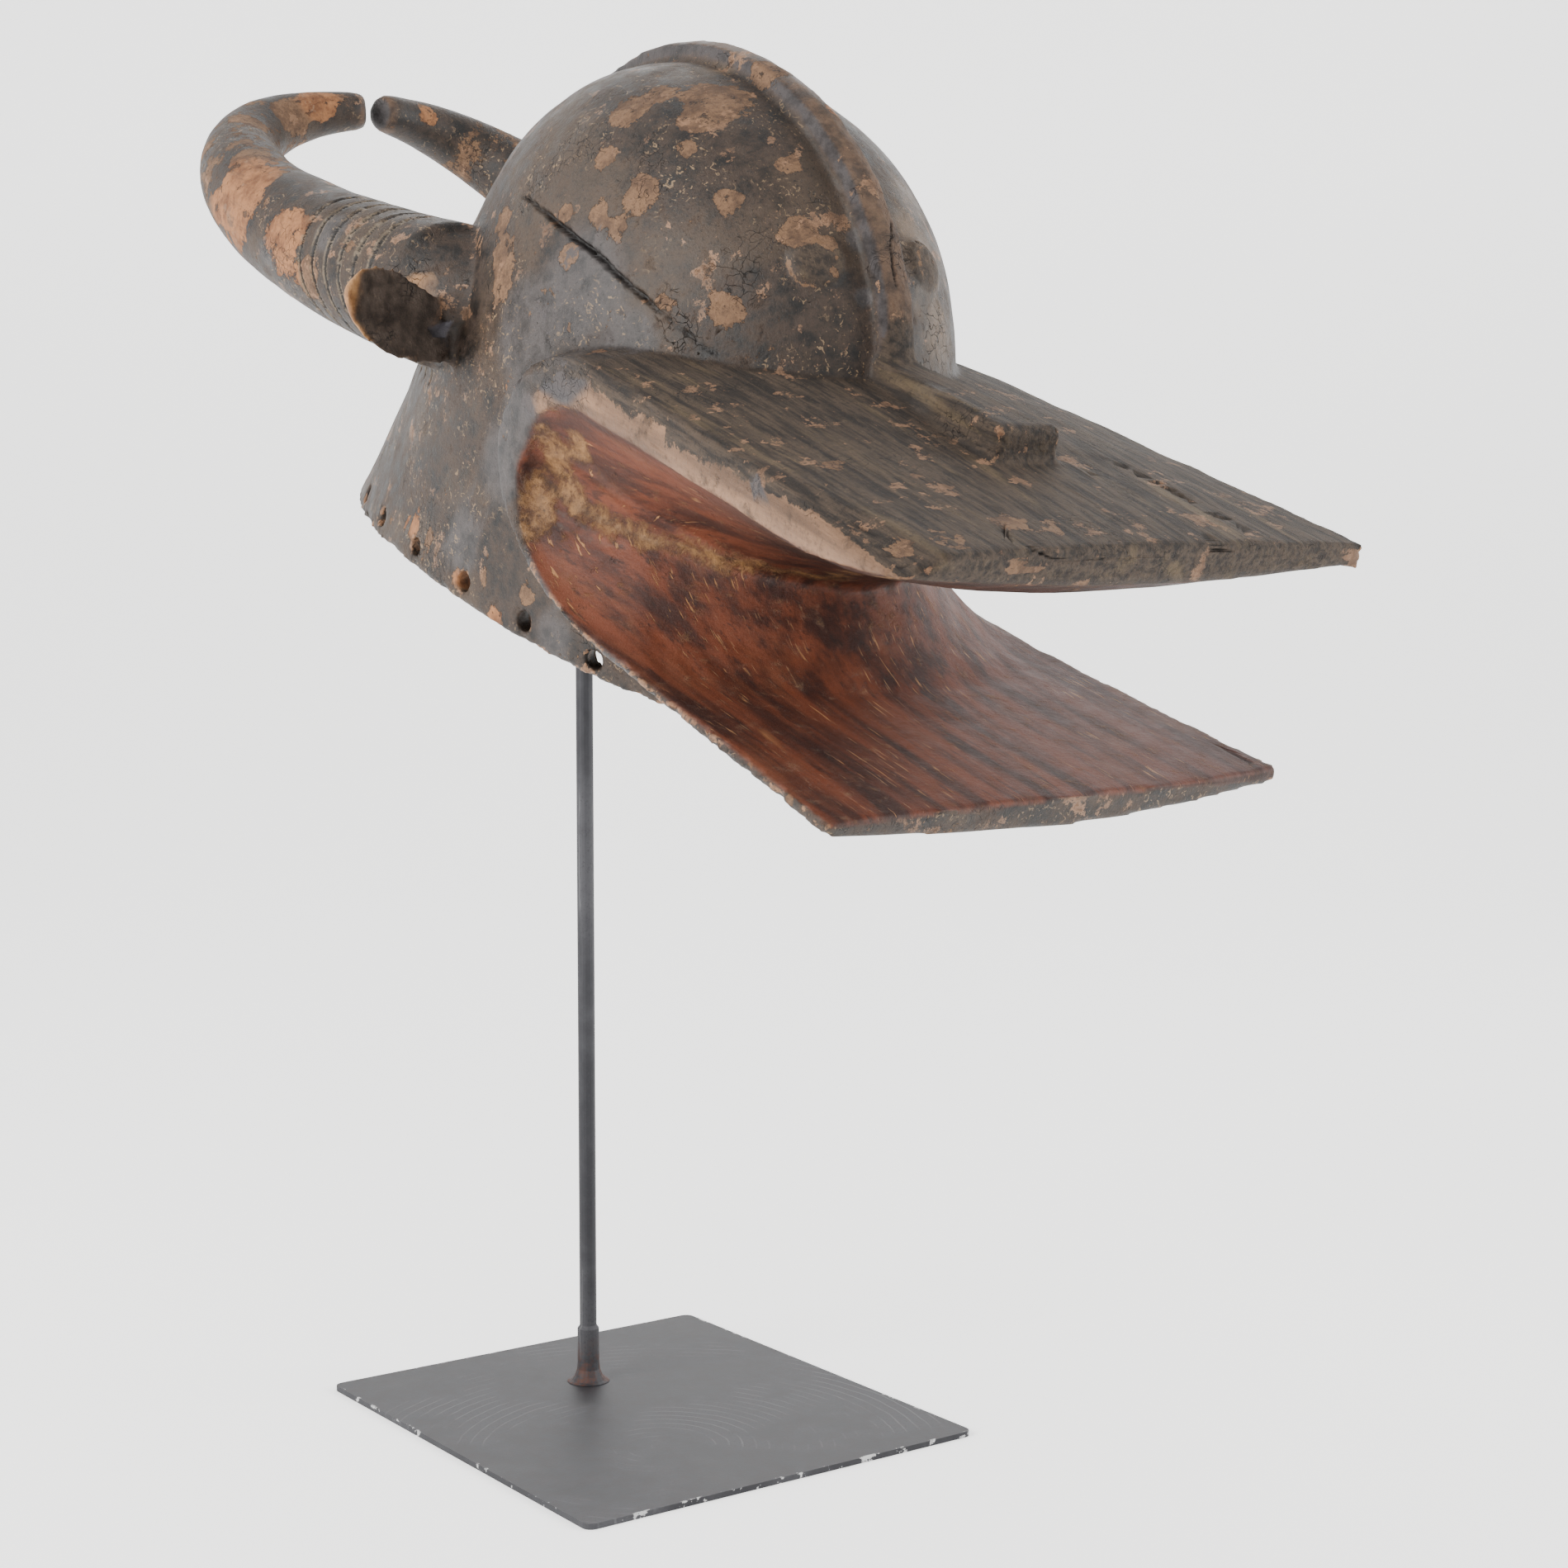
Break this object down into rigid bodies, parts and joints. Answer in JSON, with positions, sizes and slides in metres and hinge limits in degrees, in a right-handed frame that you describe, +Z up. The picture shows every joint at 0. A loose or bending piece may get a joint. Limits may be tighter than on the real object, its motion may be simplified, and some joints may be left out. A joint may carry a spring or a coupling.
{
  "type": "helmet mask on stand",
  "caption": "Carved wooden bush cow helmet mask with back-curved horns, leaf ears and wide open board-like jaws, resting on a slim steel rod with a flat foot plate.",
  "frame": {"origin": "centre of the foot plate's underside", "axes": "+Z up; -Y the way the jaws point; +X the animal's left"},
  "size_m": [0.3584, 0.7086, 0.7503],
  "materials": {
    "carved_wood": "old dark patina, flaked and worn to orange-brown and bare wood, red-brown inside the mouth",
    "dark_steel": "dull grey mill finish with faint scratches and a little rust at the weld"
  },
  "bodies": {
    "root": {"mask": "carved_wood", "base_plate": "dark_steel", "stand_rod": "dark_steel"}
  },
  "joints": []
}
